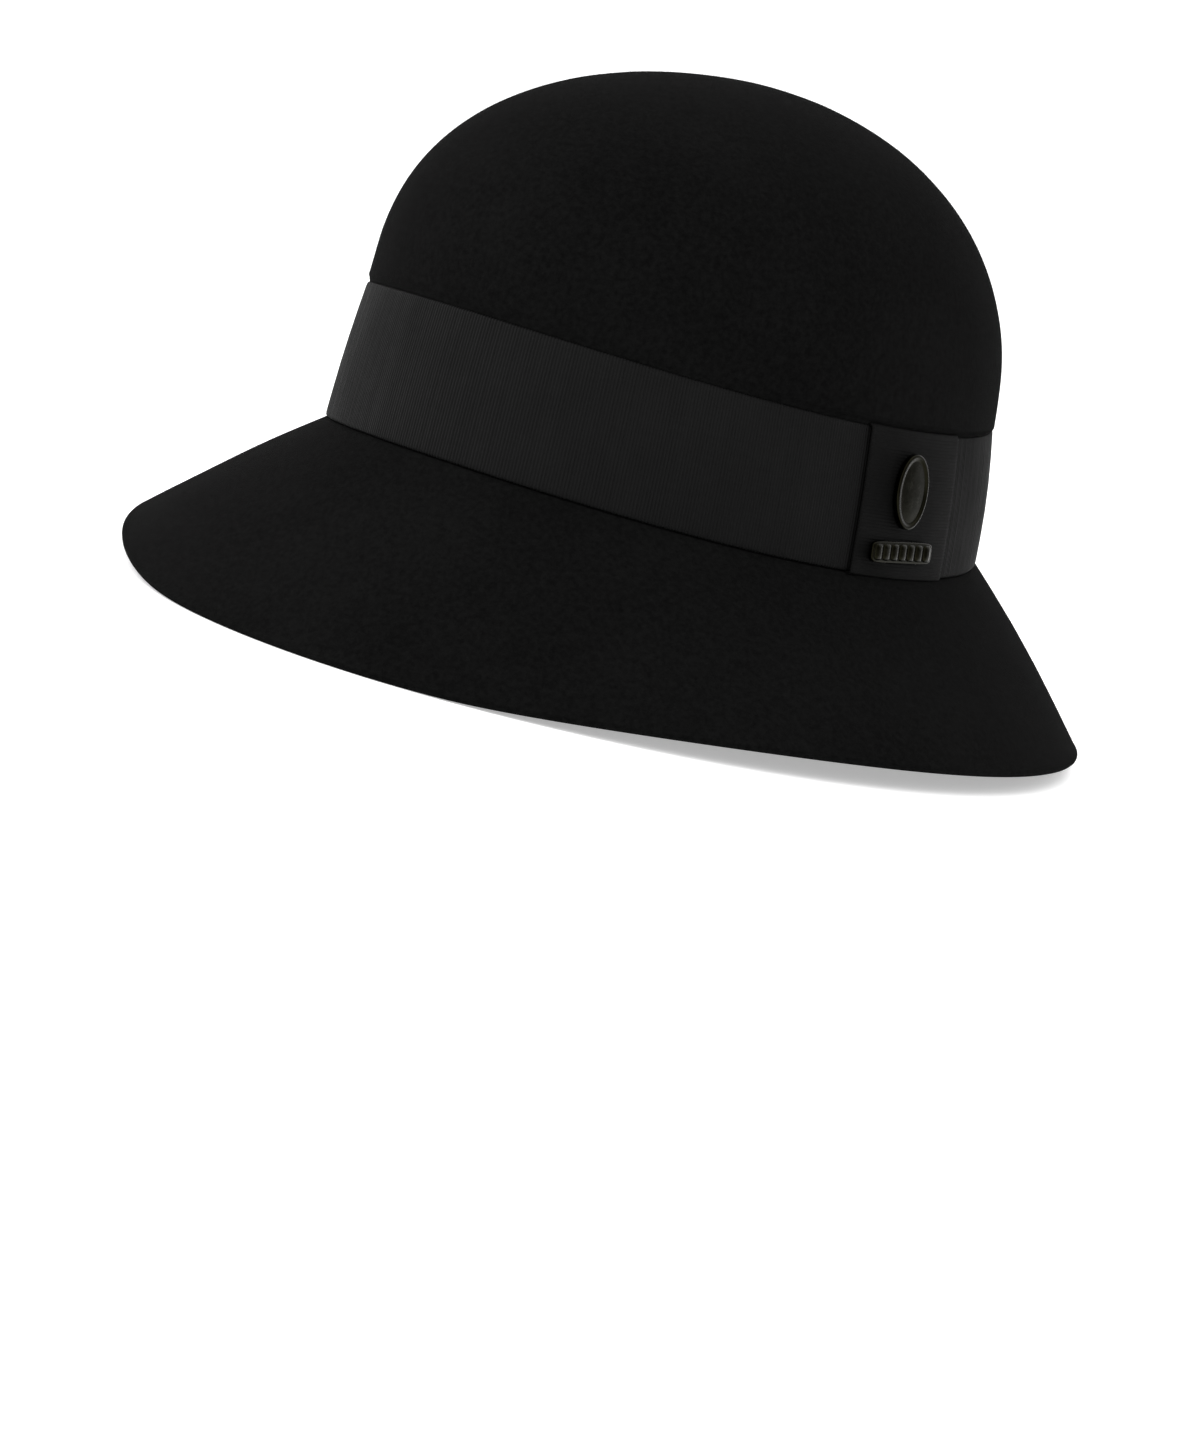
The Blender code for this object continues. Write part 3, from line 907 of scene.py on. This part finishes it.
gunmetal = badge_metal_material()
plate_shell = cast_shell(PLATE_SIZE, OVAL_POWER, PLATE_PROFILE)
plate = seated("badge_oval", [plate_shell], badge_seat(PLATE_RISE))
plate.data.materials.append(gunmetal)
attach(plate, "root")
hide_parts("badge_plate")

bar_shells = [cast_shell(BAR_SIZE, BAR_POWER, BAR_PROFILE)]
for reed in range(REED_COUNT):
    reed_middle = (reed - (REED_COUNT - 1) / 2.0) * REED_PITCH
    bar_shells.append(cast_shell(REED_SIZE, REED_POWER, REED_PROFILE, reed_middle))
bar = seated("badge_reeded_bar", bar_shells, badge_seat(BAR_RISE))
bar.data.materials.append(gunmetal)
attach(bar, "root")
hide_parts("badge_bar")


# ---------------------------------------------------------------------------------------
# Studio. A plain pale floor in a white room that is dim low on the wearer's left, with a soft
# light from the wearer's front right and one from above. The camera looks slightly down on
# the hat's front left, and leans over.
# ---------------------------------------------------------------------------------------
FLOOR_SIZE = 12.0
FLOOR_DARK = (0.86, 0.86, 0.86)
FLOOR_LIGHT = (0.88, 0.88, 0.88)
FLOOR_MOTTLE_SCALE = 3.0
# painted light: the floor's own glow, which lifts the shadow under the brim and lights the hat from below
FLOOR_GLOW = 0.4
ROOM_LIGHT = 1.3
DIM_LIGHT = 0.42
DIM_SIDE = (0.910, 0.228, -0.347)
DIM_FALL = (0.3, 0.9)
SOFTBOX_SIZE = 1.2
SOFTBOX_DISTANCE = 1.6
SOFTBOX_AIM_HEIGHT = 0.08
CAMERA_AZIMUTH = math.radians(38.0)
CAMERA_ELEVATION = math.radians(10.2)
CAMERA_ROLL = math.radians(-13.73)
CAMERA_DISTANCE = 0.9214
CAMERA_SLIDE = (0.01545, 0.06779)
CAMERA_LENS = 80.0
CAMERA_SENSOR = 36.0


def make_floor():
    bpy.ops.mesh.primitive_plane_add(size=FLOOR_SIZE)
    floor = bpy.context.object
    floor.name = "floor"
    material, tree, shader, place = start_material("pale_floor")
    mottling = noise_field(tree, place, FLOOR_MOTTLE_SCALE, detail=2.0)
    tree.links.new(tinted(tree, mottling, FLOOR_DARK, FLOOR_LIGHT), shader.inputs["Base Color"])
    shader.inputs["Roughness"].default_value = 0.9
    shader.inputs["Specular IOR Level"].default_value = 0.1
    # painted light: the floor glows a little of its own, which fills the shadow under the lifted brim
    shader.inputs["Emission Color"].default_value = (1.0, 1.0, 1.0, 1.0)
    shader.inputs["Emission Strength"].default_value = FLOOR_GLOW
    floor.data.materials.append(material)


def make_world():
    """A white room that is dim low on the wearer's left, so that black cloth keeps its form."""
    world = bpy.data.worlds.new("white_room")
    world.use_nodes = True
    tree = world.node_tree
    facing = tree.nodes.new("ShaderNodeVectorMath")
    facing.operation = "DOT_PRODUCT"
    facing.inputs[1].default_value = DIM_SIDE
    tree.links.new(tree.nodes.new("ShaderNodeTexCoord").outputs["Generated"], facing.inputs[0])
    fall = spread(tree, facing.outputs["Value"], *DIM_FALL, ROOM_LIGHT, DIM_LIGHT, "SMOOTHSTEP")
    tree.links.new(fall, tree.nodes["Background"].inputs["Strength"])
    tree.nodes["Background"].inputs["Color"].default_value = (1.0, 1.0, 1.0, 1.0)
    bpy.context.scene.world = world


def direction(azimuth, elevation):
    """Way out from the hat at an azimuth from its front, and an elevation."""
    level = math.cos(elevation)
    return Vector((math.sin(azimuth) * level, -math.cos(azimuth) * level, math.sin(elevation)))


def add_softbox(name, azimuth, elevation, power):
    """A square soft light that faces the hat."""
    away = direction(math.radians(azimuth), math.radians(elevation))
    light = bpy.data.lights.new(name, "AREA")
    light.shape = "SQUARE"
    light.size = SOFTBOX_SIZE
    light.energy = power
    lamp = bpy.data.objects.new(name, light)
    lamp.location = away * SOFTBOX_DISTANCE + Vector((0.0, 0.0, SOFTBOX_AIM_HEIGHT))
    lamp.rotation_euler = away.to_track_quat("Z", "Y").to_euler()
    bpy.context.scene.collection.objects.link(lamp)


def make_camera():
    back = direction(CAMERA_AZIMUTH, CAMERA_ELEVATION)
    level = Vector((math.cos(CAMERA_AZIMUTH), math.sin(CAMERA_AZIMUTH), 0.0))
    upright = back.cross(level)
    right = level * math.cos(CAMERA_ROLL) - upright * math.sin(CAMERA_ROLL)
    up = level * math.sin(CAMERA_ROLL) + upright * math.cos(CAMERA_ROLL)
    camera_data = bpy.data.cameras.new("camera")
    camera_data.lens = CAMERA_LENS
    camera_data.sensor_width = CAMERA_SENSOR
    camera = bpy.data.objects.new("camera", camera_data)
    foot = Vector((0.0, BRIM_REACH_FRONT, BREAK_HEIGHT))
    place = foot - right * CAMERA_SLIDE[0] - up * CAMERA_SLIDE[1] + back * CAMERA_DISTANCE
    camera.matrix_world = Matrix.Translation(place) @ Matrix((right, up, back)).transposed().to_4x4()
    bpy.context.scene.collection.objects.link(camera)
    bpy.context.scene.camera = camera


make_floor()
make_world()
add_softbox("front_right_softbox", azimuth=-50.0, elevation=35.0, power=13.0)
add_softbox("top_softbox", azimuth=90.0, elevation=70.0, power=6.0)
make_camera()
bpy.context.scene.view_settings.view_transform = "Standard"
